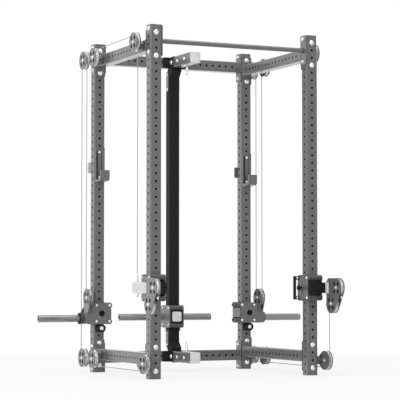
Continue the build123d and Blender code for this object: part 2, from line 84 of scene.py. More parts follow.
# Sheaves: how far the cheeks reach beyond them, and their bright flanges
cheek_side = 0.0065
wheel_flange_r = 0.0605
wheel_flange_r_at = {"weight": 0.0575, "swivel_upper": 0.0572}
wheel_flange_seat = 0.001
wheel_flange_in = 0.0072
wheel_flange_mouth = 0.008

# Weight trolleys
sleeve_skin = 0.0003
collar_r = 0.0385
collar_w = 0.02
collar_ring_w = 0.004
collar_rings = 3
collar_groove = 0.003
collar_play = 0.0005
badge_r = 0.02
guard_t = 0.005
guard_out = 0.6
guard_gap = 0.001
bumper_r = 0.0275
bumper_sink = 0.008

# Height trolleys and cables, with the tail's wrap in degrees
arm_h = 0.07
cable_r = 0.0025
cable_end_sink = 0.03
splice_gap = 0.0003
ball_r = 0.0125
ball_ahead = 0.092
ball_above = 0.041
ferrule_back = 0.012
tail_wrap = 93
eye_r = 0.0085
eye_rod_r = 0.0024
eye_points = 24

# Hooks for the bar
hook_gap = 0.0005
hook_back_t = 0.012
hook_tray_t = 0.022
hook_top_rim = 0.02
hook_bolt_inset = 0.012
hook_pin_up = 0.107
hook_tab = (0.112, 0.0106, 0.0762)
hook_tab_round = 0.01
liner_t = 0.016
spine_t = 0.003
spine_half = 0.024
spine_groove_half = 0.002

# Lat column
cap_t = 0.003
cap_round = 0.008
cover_frame_t = 0.003
cover_rim = 0.012
cover_round = 0.014
gusset_t = 0.006
gusset_inset = 0.04
neck_bolt_back = 0.03
lat_stop_r = 0.012
lat_arm_bolts = (0.067, 0.184)
lat_hook_back = 0.135
snap_rod_r = 0.0035
snap_l = 0.062
snap_w = 0.034
snap_points = 32

# Edges sharper than this many degrees stay crisp
sharp_degrees = 32

# Most of a noise texture's values lie between these
noise_low = 0.3
noise_high = 0.7

# A sheave's surface counts as a flat side, painted near black as painted shade, when its normal is
# this close to the axle
painted_shade_facing = 0.97

# Camera, solved from the photo's upright edges and hole rows
camera_back = 9.7398
camera_x = -4.7678
camera_z = 0.5757
camera_turn = (93.0, 0.0, -24.94)
camera_lens = 150.6
camera_sensor = 36.0
camera_far = 200.0

# Studio: strength of the world's light, the floor and where it fades to plain white
world_glow = 0.3
floor_r = 60.0
floor_grey = 0.94
floor_fade = (1.2, 4.5)
floor_fade_least = 0.8

SIDES = (("left", -1), ("right", 1))


# Corners, middle and size of a node's box in the frame
def low(node):
    return Vector(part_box(node)[0])


def high(node):
    return Vector(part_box(node)[1])


def middle(node):
    return (low(node) + high(node)) / 2


def span(node):
    return high(node) - low(node)


# Places read from the frame
tube = span("upright_front_right").x
half_tube = tube / 2
x_up = middle("upright_front_right").x
y_front = middle("upright_front_right").y
y_rear = middle("upright_rear_right").y
x_pull = middle("sheave_weight_right").x
x_face = x_up + half_tube
roller_r = span("rear_rollers_right").x / 2
cheek_out = span("sheave_weight_right").x / 2 + cheek_side


# Materials
def new_material(name, colour, roughness, metallic=0.0):
    """A principled material and its shader node."""
    material = bpy.data.materials.new(name)
    material.use_nodes = True
    shader = material.node_tree.nodes["Principled BSDF"]
    shader.inputs["Base Color"].default_value = (*colour, 1.0)
    shader.inputs["Roughness"].default_value = roughness
    shader.inputs["Metallic"].default_value = metallic
    return material, shader


def noise(material, scale, detail, stretch=(1.0, 1.0, 1.0)):
    """Noise in the object's own metres, optionally stretched along an axis."""
    nodes, links = material.node_tree.nodes, material.node_tree.links
    place = nodes.new("ShaderNodeTexCoord")
    mapping = nodes.new("ShaderNodeMapping")
    mapping.inputs["Scale"].default_value = stretch
    texture = nodes.new("ShaderNodeTexNoise")
    texture.inputs["Scale"].default_value = scale
    texture.inputs["Detail"].default_value = detail
    links.new(place.outputs["Object"], mapping.inputs["Vector"])
    links.new(mapping.outputs["Vector"], texture.inputs["Vector"])
    return texture.outputs["Fac"]


def tint(material, shader, source, low_colour, high_colour):
    """Vary the base colour by a texture, from its low values to its high ones."""
    ramp = material.node_tree.nodes.new("ShaderNodeValToRGB")
    ramp.color_ramp.elements[0].position = noise_low
    ramp.color_ramp.elements[0].color = (*low_colour, 1.0)
    ramp.color_ramp.elements[1].position = noise_high
    ramp.color_ramp.elements[1].color = (*high_colour, 1.0)
    material.node_tree.links.new(source, ramp.inputs["Fac"])
    material.node_tree.links.new(ramp.outputs["Color"], shader.inputs["Base Color"])


def roughen(material, shader, source, smooth, rough):
    """Vary the roughness between two values by a texture."""
    spread = material.node_tree.nodes.new("ShaderNodeMapRange")
    spread.inputs["From Min"].default_value = noise_low
    spread.inputs["From Max"].default_value = noise_high
    spread.inputs["To Min"].default_value = smooth
    spread.inputs["To Max"].default_value = rough
    material.node_tree.links.new(source, spread.inputs["Value"])
    material.node_tree.links.new(spread.outputs["Result"], shader.inputs["Roughness"])


def emboss(material, shader, source, strength, depth):
    """Raise the surface by a texture."""
    bump = material.node_tree.nodes.new("ShaderNodeBump")
    bump.inputs["Strength"].default_value = strength
    bump.inputs["Distance"].default_value = depth
    material.node_tree.links.new(source, bump.inputs["Height"])
    material.node_tree.links.new(bump.outputs["Normal"], shader.inputs["Normal"])


def grey(value):
    return (value, value, value * 1.02)


def powder_coat(name, value, spread, roughness, sheen=0.4, gloss=0.0):
    """Powder coat: orange-peel grain, faint mottling and a satin sheen that varies a little."""
    material, shader = new_material(name, grey(value), roughness)
    grain = noise(material, scale=420.0, detail=4.0)
    mottle = noise(material, scale=9.0, detail=5.0)
    tint(material, shader, grain, grey(value * (1 - spread)), grey(value * (1 + spread)))
    roughen(material, shader, mottle, smooth=roughness - 0.06, rough=roughness + 0.08)
    emboss(material, shader, grain, strength=0.25, depth=0.0004)
    shader.inputs["Specular IOR Level"].default_value = sheen
    shader.inputs["Coat Weight"].default_value = gloss
    shader.inputs["Coat Roughness"].default_value = 0.14
    return material


def metal(name, value, roughness, stretch, metallic=0.85, gloss=0.0):
    """Machined or plated metal with fine tool marks along one direction."""
    material, shader = new_material(name, grey(value), roughness, metallic)
    marks = noise(material, scale=160.0, detail=6.0, stretch=stretch)
    cloud = noise(material, scale=22.0, detail=4.0)
    tint(material, shader, cloud, grey(value * 0.9), grey(value * 1.06))
    roughen(material, shader, marks, smooth=roughness - 0.08, rough=roughness + 0.1)
    emboss(material, shader, marks, strength=0.15, depth=0.0002)
    shader.inputs["Coat Weight"].default_value = gloss
    shader.inputs["Coat Roughness"].default_value = 0.1
    shader.inputs["Coat IOR"].default_value = 1.9
    return material


def sheave_metal_painted_shade():
    """Turned sheave: bright groove and rim; the flat sides are painted near black as painted shade
    for the narrow gap between the cheeks.
    """
    material, shader = new_material("sheave_alloy", grey(0.85), 0.36, 0.85)
    nodes, links = material.node_tree.nodes, material.node_tree.links
    place = nodes.new("ShaderNodeTexCoord")
    parts = nodes.new("ShaderNodeSeparateXYZ")
    facing = nodes.new("ShaderNodeMath")
    facing.operation = "ABSOLUTE"
    flat = nodes.new("ShaderNodeMath")
    flat.operation = "GREATER_THAN"
    flat.inputs[1].default_value = painted_shade_facing
    links.new(place.outputs["Normal"], parts.inputs["Vector"])
    links.new(parts.outputs["X"], facing.inputs[0])
    links.new(facing.outputs["Value"], flat.inputs[0])
    # Painted shade: the flat sides turn near black, standing in for the shade between the cheeks
    tint(material, shader, flat.outputs["Value"], grey(0.85), grey(0.03))
    marks = noise(material, scale=160.0, detail=6.0, stretch=(0.2, 1.0, 1.0))
    roughen(material, shader, marks, smooth=0.28, rough=0.46)
    emboss(material, shader, marks, strength=0.15, depth=0.0002)
    return material


def plastic(name, value, roughness, grain_scale, grain_depth, sheen=0.5):
    """Moulded plastic or rubber with a spark-eroded grain."""
    material, shader = new_material(name, grey(value), roughness)
    grain = noise(material, scale=grain_scale, detail=3.0)
    cloud = noise(material, scale=14.0, detail=4.0)
    tint(material, shader, cloud, grey(value * 0.85), grey(value * 1.12))
    roughen(material, shader, cloud, smooth=roughness - 0.05, rough=roughness + 0.08)
    emboss(material, shader, grain, strength=0.2, depth=grain_depth)
    shader.inputs["Specular IOR Level"].default_value = sheen
    return material


def cable_jacket():
    """Nylon-jacketed wire rope: the strands show as fine slanting ridges."""
    material, shader = new_material("cable_jacket", grey(0.38), 0.4)
    nodes, links = material.node_tree.nodes, material.node_tree.links
    place = nodes.new("ShaderNodeTexCoord")
    strands = nodes.new("ShaderNodeTexWave")
    strands.bands_direction = "DIAGONAL"
    strands.inputs["Scale"].default_value = 160.0
    strands.inputs["Distortion"].default_value = 0.4
    links.new(place.outputs["Object"], strands.inputs["Vector"])
    tint(material, shader, strands.outputs["Fac"], grey(0.35), grey(0.41))
    emboss(material, shader, strands.outputs["Fac"], strength=0.15, depth=0.0002)
    return material


graphite = powder_coat("graphite_coat", 0.132, 0.28, 0.42, sheen=0.4, gloss=0.9)
black_coat = powder_coat("black_coat", 0.016, 0.3, 0.55, sheen=0.14)
silver_coat = powder_coat("silver_coat", 0.72, 0.08, 0.4)
horn_steel = metal("horn_steel", 0.19, 0.3, (0.15, 1.0, 1.0), metallic=0.6, gloss=1.0)
bolt_zinc = metal("bolt_zinc", 0.86, 0.3, (1.0, 1.0, 1.0))
sheave_alloy = sheave_metal_painted_shade()
flange_alloy = metal("flange_alloy", 0.95, 0.34, (1.0, 1.0, 1.0), metallic=0.25)
roller_plastic = plastic("roller_plastic", 0.085, 0.34, 700.0, 0.0002)
dark_roller = plastic("dark_roller", 0.032, 0.4, 700.0, 0.0002, sheen=0.4)
black_rubber = plastic("black_rubber", 0.02, 0.65, 900.0, 0.0004, sheen=0.12)
cap_plastic = plastic("cap_plastic", 0.13, 0.5, 800.0, 0.0003)
white_plastic = plastic("white_plastic", 0.88, 0.35, 600.0, 0.0002)
liner_plastic = plastic("liner_plastic", 0.011, 0.55, 500.0, 0.0003, sheen=0.1)
jacket = cable_jacket()

FINISH = {
    "sheave": sheave_alloy,
    "cable_box": silver_coat,
    "cable": jacket,
    "rear_rollers": dark_roller,
    "front_rollers": roller_plastic,
    "lat_rollers": roller_plastic,
    "front_arm": black_coat,
    "lat_post": black_coat,
    "upright_caps": cap_plastic,
    "trolley_bumpers": black_rubber,
    "lat_cover": white_plastic,
    "pop_pin": liner_plastic,
}


def finish_of(node):
    """Material of a node, by how its name starts; what isn't listed is painted graphite."""
    for start, material in FINISH.items():
        if node.startswith(start):
            return material
    return graphite


for node_name, node_object in frame["nodes"].items():
    for held in node_object.material_slots:
        held.material = finish_of(node_name)


# Mesh tools
def spin(bm, profile, place, axis, segments=24, hexed=(), hollow=False):
    """Turn a profile of (radius, height) about an axis.

    The rings numbered in hexed are six-sided, and a hollow profile closes on itself.
    """
    turn = Vector((0, 0, 1)).rotation_difference(Vector(axis)).to_matrix().to_4x4()
    matrix = Matrix.Translation(place) @ turn
    rings = []
    for number, (radius, height) in enumerate(profile):
        ring = []
        for n in range(segments):
            angle = 2 * pi * n / segments
            reach = radius
            if number in hexed:
                reach = radius * cos(pi / 6) / cos(angle % (pi / 3) - pi / 6)
            spot = Vector((reach * cos(angle), reach * sin(angle), height))
            ring.append(bm.verts.new(matrix @ spot))
        rings.append(ring)
    if hollow:
        rings.append(rings[0])
    for lower, upper in zip(rings, rings[1:]):
        for n in range(segments):
            after = (n + 1) % segments
            bm.faces.new((lower[n], lower[after], upper[after], upper[n]))
    if not hollow:
        bm.faces.new(reversed(rings[0]))
        bm.faces.new(rings[-1])


def button_head(bm, place, axis, radius, height):
    """Flanged button-head bolt with a six-sided socket."""
    spin(
        bm,
        [
            (radius, 0.0),
            (radius, 0.16 * height),
            (0.92 * radius, 0.28 * height),
            (0.84 * radius, 0.34 * height),
            (0.76 * radius, 0.62 * height),
            (0.6 * radius, 0.88 * height),
            (0.46 * radius, height),
            (0.4 * radius, height),
            (0.38 * radius, 0.4 * height),
        ],
        place,
        axis,
        hexed=(7, 8),
    )


def hex_nut(bm, place, axis, radius, height):
    """Flange nut: a washer face, six flats and a bolt end that stands proud."""
    spin(
        bm,
        [
            (1.1 * radius, 0.0),
            (1.1 * radius, 0.18 * height),
            (radius, 0.24 * height),
            (radius, 0.92 * height),
            (0.86 * radius, height),
            (0.55 * radius, height),
            (0.55 * radius, 1.25 * height),
            (0.48 * radius, 1.35 * height),
        ],
        place,
        axis,
        hexed=(2, 3),
    )


def frame_bolt(bm, place, axis):
    button_head(bm, place, axis, frame_bolt_r, frame_bolt_h)


def frame_nut(bm, place, axis):
    hex_nut(bm, place, axis, frame_bolt_r * nut_to_head, nut_h)


def plate_bolt(bm, place, axis):
    button_head(bm, place, axis, plate_bolt_r, plate_bolt_h)


def lat_bolt(bm, place, axis):
    button_head(bm, place, axis, lat_bolt_r, lat_bolt_h)


def tube_along(bm, points, radius, segments=12, closed=False):
    """Round tube along points, with its section turned so that neighbours stay in line."""
    points = [Vector(p) for p in points]
    count = len(points)
    rings = []
    side = None
    for n, point in enumerate(points):
        before = points[n - 1] if closed or n else point
        after = points[(n + 1) % count] if closed or n < count - 1 else point
        along = (after - before).normalized()
        if side is None:
            side = along.orthogonal()
        side = (side - along * side.dot(along)).normalized()
        across = along.cross(side)
        ring = []
        for k in range(segments):
            angle = 2 * pi * k / segments
            ring.append(bm.verts.new(point + radius * (cos(angle) * side + sin(angle) * across)))
        rings.append(ring)
    pairs = list(zip(rings, rings[1:]))
    if closed:
        pairs.append((rings[-1], rings[0]))
    for first, second in pairs:
        for k in range(segments):
            after = (k + 1) % segments
            bm.faces.new((first[k], first[after], second[after], second[k]))
    if not closed:
        bm.faces.new(reversed(rings[0]))
        bm.faces.new(rings[-1])


def rounded_block(bm, centre, size, radius):
    """Slab with rounded corners seen from the front and eased front and back edges."""
    wide, deep, tall = size
    ease = min(radius, deep) * 0.25
    half = deep / 2
    rings = []
    for inset, level in ((ease, -half), (0.0, -half + ease), (0.0, half - ease), (ease, half)):
        ring = []
        for quarter in range(4):
            mid = pi / 4 + quarter * pi / 2
            for step in range(6):
                angle = quarter * pi / 2 + step * pi / 10
                bend = radius - inset
                u = (wide / 2 - radius) * (1 if cos(mid) > 0 else -1) + bend * cos(angle)
                v = (tall / 2 - radius) * (1 if sin(mid) > 0 else -1) + bend * sin(angle)
                ring.append(bm.verts.new(Vector(centre) + Vector((u, level, v))))
        rings.append(ring)
    for first, second in zip(rings, rings[1:]):
        for n in range(len(first)):
            after = (n + 1) % len(first)
            bm.faces.new((first[n], first[after], second[after], second[n]))
    bm.faces.new(rings[0])
    bm.faces.new(rings[-1])


def weld_bead(bm, centre, normal):
    """Bead round a square tube where it meets its flange."""
    across = Vector((0, 0, 1))
    along = across.cross(Vector(normal))
    flat = half_tube - weld_corner
    points = []
    for quarter in range(4):
        mid = pi / 4 + quarter * pi / 2
        for step in range(5):
            angle = quarter * pi / 2 + step * pi / 8
            u = flat * (1 if cos(mid) > 0 else -1) + weld_corner * cos(angle)
            v = flat * (1 if sin(mid) > 0 else -1) + weld_corner * sin(angle)
            points.append(Vector(centre) + u * along + v * across)
    tube_along(bm, points, weld_r, segments=8, closed=True)


def add_piece(name, bm, material, body):
    """Turn a finished bmesh into a piece that moves with a body; a cable run has none."""
    bmesh.ops.recalc_face_normals(bm, faces=bm.faces)
    mesh = bpy.data.meshes.new(name)
    bm.to_mesh(mesh)
    bm.free()
    for face in mesh.polygons:
        face.use_smooth = True
    mesh.set_sharp_from_angle(angle=radians(sharp_degrees))
    mesh.materials.append(material)
    piece = bpy.data.objects.new(name, mesh)
    bpy.context.scene.collection.objects.link(piece)
    if body:
        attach(piece, body)
    return piece


# Frame bolts: through the uprights front to back at the side rails, and across at the cross rails
def side_rail_bolts(bm):
    for side, way in SIDES:
        for level in ("lower", "upper"):
            rail = f"side_rail_{level}_{side}"
            for z in (middle(rail).z - tube, middle(rail).z + tube):
                x = way * x_up
                frame_bolt(bm, (x, y_front - half_tube, z), (0, -1, 0))
                frame_nut(bm, (x, low(rail).y + rail_flange_t, z), (0, 1, 0))
                frame_bolt(bm, (x, high(rail).y - rail_flange_t, z), (0, -1, 0))
                frame_nut(bm, (x, y_rear + half_tube, z), (0, 1, 0))


def cross_rail_bolts(bm):
    for rail in ("rear_rail_lower", "rear_rail_upper", "pull_up_bar"):
        for _, way in SIDES:
            for z in (middle(rail).z - tube, middle(rail).z + tube):
                y = middle(rail).y
                frame_bolt(bm, (way * x_face, y, z), (way, 0, 0))
                frame_nut(bm, (way * (x_up - half_tube - rail_flange_t), y, z), (-way, 0, 0))


frame_bolts = bmesh.new()
side_rail_bolts(frame_bolts)
cross_rail_bolts(frame_bolts)
add_piece("frame_bolts", frame_bolts, bolt_zinc, "frame")

# Weld beads where the rails meet their flanges
welds = bmesh.new()
for rail_level in ("lower", "upper"):
    for rail_side, rail_way in SIDES:
        rail_name = f"side_rail_{rail_level}_{rail_side}"
        rail_z = middle(rail_name).z
        rail_x = rail_way * x_up
        weld_bead(welds, (rail_x, low(rail_name).y + rail_flange_t, rail_z), (0, 1, 0))
        weld_bead(welds, (rail_x, high(rail_name).y - rail_flange_t, rail_z), (0, -1, 0))
        cross = f"rear_rail_{rail_level}"
        weld_x = rail_way * (x_up - half_tube - rail_flange_t)
        weld_bead(welds, (weld_x, y_rear, middle(cross).z), (-rail_way, 0, 0))
add_piece("rail_welds", welds, graphite, "frame")


# Axle bolts on the outer cheek of every sheave, with their nuts on the inner one
def axle_bolts(names, body, label):
    bm = bmesh.new()
    for name in names:
        at = middle(name)
        way = 1 if at.x > 0 else -1
        outer = (at.x + way * cheek_out, at.y, at.z)
        inner = (at.x - way * cheek_out, at.y, at.z)
        button_head(bm, outer, (way, 0, 0), axle_bolt_r, plate_bolt_h)
        hex_nut(bm, inner, (-way, 0, 0), axle_bolt_r, plate_bolt_h)
    add_piece(label, bm, bolt_zinc, body)


fixed_sheaves = ["top_front", "top_mid", "top_rear", "low_rear", "low_mid", "low_front"]
on_frame = [f"sheave_{n}_{s}" for n in fixed_sheaves for s, _ in SIDES]
axle_bolts(on_frame, "frame", "bracket_axle_bolts")
for side_name, _ in SIDES:
    on_trolley = [f"sheave_weight_{side_name}"]
    axle_bolts(on_trolley, f"rear_carriage_{side_name}", f"weight_axle_bolt_{side_name}")
    swivels = [f"sheave_swivel_upper_{side_name}", f"sheave_swivel_lower_{side_name}"]
    axle_bolts(swivels, f"swivel_{side_name}", f"swivel_axle_bolts_{side_name}")


# Bright flanges on the sheaves, inside the cheeks' outline
def sheave_flanges(name, side):
    sheave = f"sheave_{name}_{side}"
    half = span(sheave).x / 2
    rim = span(sheave).z / 2
    seat = rim - wheel_flange_seat
    edge = wheel_flange_r_at.get(name, wheel_flange_r)
    flanges = bmesh.new()
    for face in (-1, 1):
        profile = [(seat, wheel_flange_in), (edge, wheel_flange_mouth), (edge, half), (seat, half)]
        spin(flanges, profile, middle(sheave), (face, 0, 0), segments=64, hollow=True)
    wheel = f"wheel_{name}_{side}"
    add_piece(f"flanges_{name}_{side}", flanges, flange_alloy, wheel)


for sheave_name in [*fixed_sheaves, "weight", "swivel_upper", "swivel_lower"]:
    for side_name, _ in SIDES:
        sheave_flanges(sheave_name, side_name)


# Weight trolleys: plate bolts, roller guard, round badge, horn skin and black collar
def badge(bm, place, axis, radius):
    """Plain round badge with a raised rim."""
    spin(
        bm,
        [
            (radius, 0.0),
            (radius, 0.0022),
            (0.94 * radius, 0.0028),
            (0.86 * radius, 0.0028),
            (0.8 * radius, 0.0012),
            (0.3 * radius, 0.0016),
        ],
        place,
        axis,
        segments=40,
    )


def horn_cap(bm, tip, axis, radius):
    """Turned end cap that slips over the end of a horn."""
    spin(
        bm,
        [
            (radius, -0.014),
            (radius + 0.0008, -0.013),
            (radius + 0.0008, -0.003),
            (radius - 0.002, 0.0004),
            (0.5 * radius, 0.0004),
            (0.42 * radius, -0.001),
        ],
        tip,
        axis,
        segments=40,
    )


def slab(bm, low_corner, high_corner):
    """Box between two corners with softened edges."""
    made = bmesh.ops.create_cube(bm, size=1.0)["verts"]
    size = Vector(high_corner) - Vector(low_corner)
    centre = (Vector(high_corner) + Vector(low_corner)) / 2
    bmesh.ops.scale(bm, verts=made, vec=size)
    bmesh.ops.translate(bm, verts=made, vec=centre)
    edges = list(dict.fromkeys(edge for vert in made for edge in vert.link_edges))
    bmesh.ops.bevel(bm, geom=edges, offset=slab_bevel, segments=2, affect="EDGES")


def horn_of(name):
    """Middle, radius and half length of a horn, from its mount in the record."""
    mount = next(m for m in frame["record"]["mounts"] if m["name"] == name)
    dims = mount["dims"]
    return Vector(mount["pos_m"]), dims["r_mm"] / 1000, dims["length_mm"] / 2000


def horn_sleeve(bm, name, way):
    """Bright steel skin along a horn, and its end cap."""
    horn, radius, reach = horn_of(name)
    axis = (way, 0, 0)
    skin = radius + sleeve_skin
    profile = [(radius, -reach), (skin, -reach), (skin, reach), (radius, reach)]
    spin(bm, profile, horn, axis, segments=48)
    horn_cap(bm, horn + Vector((way * reach, 0, 0)), axis, radius)


def weight_trolley(side, way):
    body = f"rear_carriage_{side}"
    rollers = middle(f"rear_rollers_{side}")
    bolt_dz = span(f"rear_rollers_{side}").z / 2 - roller_r
    front = low(f"rear_rollers_{side}").y - plate_t
    back = high(f"rear_rollers_{side}").y + plate_t
    bolts = bmesh.new()
    for y, face in ((front, -1), (back, 1)):
        for x in (rollers.x, way * x_face):
            for z in (rollers.z - bolt_dz, rollers.z + bolt_dz):
                plate_bolt(bolts, (x, y, z), (0, face, 0))
    add_piece(f"weight_plate_bolts_{side}", bolts, bolt_zinc, body)

    guard = bmesh.new()
    guard_x = rollers.x - way * guard_out * roller_r
    guard_dz = bolt_dz - roller_r - guard_gap
    slab(
        guard,
        (guard_x - guard_t / 2, front + plate_t, rollers.z - guard_dz),
        (guard_x + guard_t / 2, back - plate_t, rollers.z + guard_dz),
    )
    add_piece(f"roller_guard_{side}", guard, graphite, body)

    disc = bmesh.new()
    badge(disc, (way * x_up, front, rollers.z), (0, -1, 0), badge_r)
    add_piece(f"weight_badge_{side}", disc, liner_plastic, body)

    sleeve = bmesh.new()
    horn_sleeve(sleeve, f"weight_horn_{side}", way)
    add_piece(f"horn_sleeve_{side}", sleeve, horn_steel, body)

    horn, horn_r, reach = horn_of(f"weight_horn_{side}")
    collar = bmesh.new()
    step = collar_ring_w
    profile = [(horn_r + collar_play, 0.0)]
    for ring in range(collar_rings):
        profile.append((collar_r - collar_groove, ring * 2 * step))
        profile.append((collar_r, ring * 2 * step + 0.2 * step))
        profile.append((collar_r, (ring * 2 + 1) * step))
        profile.append((collar_r - collar_groove, (ring * 2 + 1.2) * step))
    profile.append((horn_r + collar_play, 2 * collar_rings * step))
    foot = horn - Vector((way * (reach + collar_w), 0, 0))
    spin(collar, profile, foot, (way, 0, 0), segments=40)
    add_piece(f"horn_collar_{side}", collar, black_rubber, body)


for side_name, side_way in SIDES:
    weight_trolley(side_name, side_way)


# Height trolleys: plate bolts, nuts on the cable stud and the cable's end fitting
def height_trolley(side, way):
    body = f"front_carriage_{side}"
    rollers = f"front_rollers_{side}"
    at = middle(rollers)
    dy = span(rollers).y / 2 - roller_r
    dz = span(rollers).z / 2 - roller_r
    plate = span(rollers).x / 2 + plate_t
    bolts = bmesh.new()
    for face in (-1, 1):
        for y in (at.y - dy, at.y + dy):
            for z in (at.z - dz, at.z + dz):
                strap = strap_t if face == -way and y > at.y else 0.0
                plate_bolt(bolts, (at.x + face * (plate + strap), y, z), (face, 0, 0))
    add_piece(f"height_plate_bolts_{side}", bolts, bolt_zinc, body)

    stud_x = way * x_pull
    stud_y = high(f"cable_front_{side}").y - cable_r
    nuts = bmesh.new()
    arm_half = arm_h / 2
    hex_nut(nuts, (stud_x, stud_y, at.z + arm_half), (0, 0, 1), stud_nut_r, stud_nut_h)
    hex_nut(nuts, (stud_x, stud_y, at.z - arm_half), (0, 0, -1), stud_nut_r, stud_nut_h)
    cable_end = [(0.0066, 0.0), (0.0066, 0.024), (0.0045, 0.034), (0.003, 0.04)]
    end_z = high(f"cable_box_{side}").z - cable_end_sink
    spin(nuts, cable_end, (stud_x, stud_y, end_z), (0, 0, 1))
    add_piece(f"stud_nuts_{side}", nuts, bolt_zinc, body)


for side_name, side_way in SIDES:
    height_trolley(side_name, side_way)


# Cables that change length when a trolley moves
def moving_cable(name, points, node):
    """A taut run from the frame to a trolley, built in place on no body; the CAD cable node it
    stands in for is hidden.
    """
    bm = bmesh.new()
    tube_along(bm, points, cable_r)
    run = add_piece(name, bm, jacket, None)
    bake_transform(run)
    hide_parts(node)


def arc(centre, radius, start, end, steps):
    """Points at one x from angle start to angle end, counted from +Y towards +Z."""
    found = []
    for n in range(steps + 1):
        angle = radians(start + (end - start) * n / steps)
        y = centre.y + radius * cos(angle)
        z = centre.z + radius * sin(angle)
        found.append(Vector((centre.x, y, z)))
    return found


def trolley_cables(side):
    loop = middle(f"sheave_weight_{side}")
    loop_node = f"cable_weight_{side}"
    pitch_r = span(loop_node).y / 2 - cable_r
    top = Vector((loop.x, loop.y, middle(f"sheave_top_mid_{side}").z))
    front_run = top - Vector((0, pitch_r, 0))
    back_run = top + Vector((0, pitch_r, 0))
    route = [front_run, *arc(loop, pitch_r, 180, 360, 20), back_run]
    moving_cable(f"weight_cable_{side}", route, loop_node)

    front_node = f"cable_front_{side}"
    upper_y = high(front_node).y - cable_r
    lower_y = low(front_node).y + cable_r
    upper_top = Vector((loop.x, upper_y, middle(f"sheave_top_front_{side}").z))
    upper_end = Vector((loop.x, upper_y, high(f"cable_box_{side}").z))
    upper = [upper_top, upper_end]
    moving_cable(f"height_cable_{side}", upper, front_node)
    lower_end = Vector((loop.x, lower_y, middle(f"sheave_low_front_{side}").z))
    lower_top = Vector((loop.x, lower_y, middle(f"sheave_swivel_lower_{side}").z - splice_gap))
    lower = [lower_end, lower_top]
    moving_cable(f"pull_cable_{side}", lower, front_node)

    wheel = middle(f"sheave_swivel_lower_{side}")
    over = arc(wheel, pitch_r, 0, tail_wrap, 15)
    ball = wheel + Vector((0, -ball_ahead, ball_above))
    tail = bmesh.new()
    tube_along(tail, [*over, ball], cable_r)
    add_piece(f"cable_tail_{side}", tail, jacket, f"swivel_{side}")
    stop = bmesh.new()
    bmesh.ops.create_uvsphere(stop, u_segments=28, v_segments=16, radius=ball_r)
    bmesh.ops.translate(stop, verts=stop.verts, vec=ball)
    ahead = ball - over[-1]
    ferrule = [(0.006, 0.0), (0.0085, 0.004), (0.0085, 0.012), (0.005, 0.016)]
    spin(stop, ferrule, ball - ahead.normalized() * (ball_r + ferrule_back), ahead)
    add_piece(f"ball_stop_{side}", stop, black_rubber, f"swivel_{side}")
    eye = bmesh.new()
    eye_at = ball - Vector((0, ball_r + eye_r, 0))
    ring = arc(eye_at, eye_r, 0, 360 - 360 / eye_points, eye_points - 1)
    tube_along(eye, ring, eye_rod_r, closed=True)
    add_piece(f"pull_eye_{side}", eye, bolt_zinc, f"swivel_{side}")


for side_name, _ in SIDES:
    trolley_cables(side_name)


# Hooks for the bar: black core behind a grooved steel front, rear tab and bolts
def bar_hook(side):
    hook = f"bar_hook_{side}"
    body = f"hook_{side}"
    x = middle(hook).x
    top = high(hook).z - hook_top_rim
    seat = low(hook).z + hook_tray_t
    face = y_rear - half_tube - hook_gap - hook_back_t
    front = face - liner_t
    core = bmesh.new()
    slab(core, (x - spine_half, front, seat), (x + spine_half, face, top))
    add_piece(f"hook_liner_{side}", core, liner_plastic, body)
    strips = bmesh.new()
    for left, right in ((-spine_half, -spine_groove_half), (spine_groove_half, spine_half)):
        slab(strips, (x + left, front - spine_t, seat), (x + right, front, top))
    add_piece(f"hook_front_{side}", strips, graphite, body)
    tab = bmesh.new()
    tab_y = y_rear + half_tube + hook_gap + hook_tab[1] / 2
    rounded_block(tab, (x, tab_y, low(hook).z + hook_pin_up), hook_tab, hook_tab_round)
    # Painted light: the left tab is silver as a painted highlight where the key light falls; the
    # right tab keeps the graphite of the same part
    coat, slot = (silver_coat, "silver_paint") if side == "left" else (graphite, "graphite_paint")
    add_piece(f"hook_tab_{side}", tab, coat, body)
    bolts = bmesh.new()
    for z in (seat + hook_bolt_inset, top - hook_bolt_inset):
        plate_bolt(bolts, (x - spine_half / 2, front - spine_t, z), (0, -1, 0))
    add_piece(f"hook_bolts_{side}", bolts, bolt_zinc, body)


for side_name, _ in SIDES:
    bar_hook(side_name)


# Lat column: arm caps, bolts, snap hooks, trolley bolts, cover frame and horn skins
def snap_hook(name, place, way, body):
    """Snap hook on a swivel eye, hanging along way from place."""
    way = Vector(way)
    wide = Vector((0, 1, 0))
    rod = snap_rod_r
    bm = bmesh.new()
    ring = []
    for n in range(snap_points):
        angle = 2 * pi * n / snap_points
        down = 0.5 * snap_l * (1 - cos(angle))
        bulge = 0.5 * snap_w * sin(angle) * (0.72 + 0.28 * (down / snap_l))
        ring.append(Vector(place) + way * (down + 2 * rod) + wide * bulge)
    tube_along(bm, ring, rod, closed=True)
    spin(bm, [(rod, -rod), (2 * rod, 0.0), (2 * rod, rod * 2), (rod, rod * 3)], place, way)
    gate = Vector(place) + way * (0.52 * snap_l) + wide * (0.44 * snap_w)
    sleeve = [(rod * 0.8, -0.012), (rod * 1.35, -0.01), (rod * 1.35, 0.01), (rod * 0.8, 0.012)]
    spin(bm, sleeve, gate, way)
    add_piece(name, bm, bolt_zinc, body)


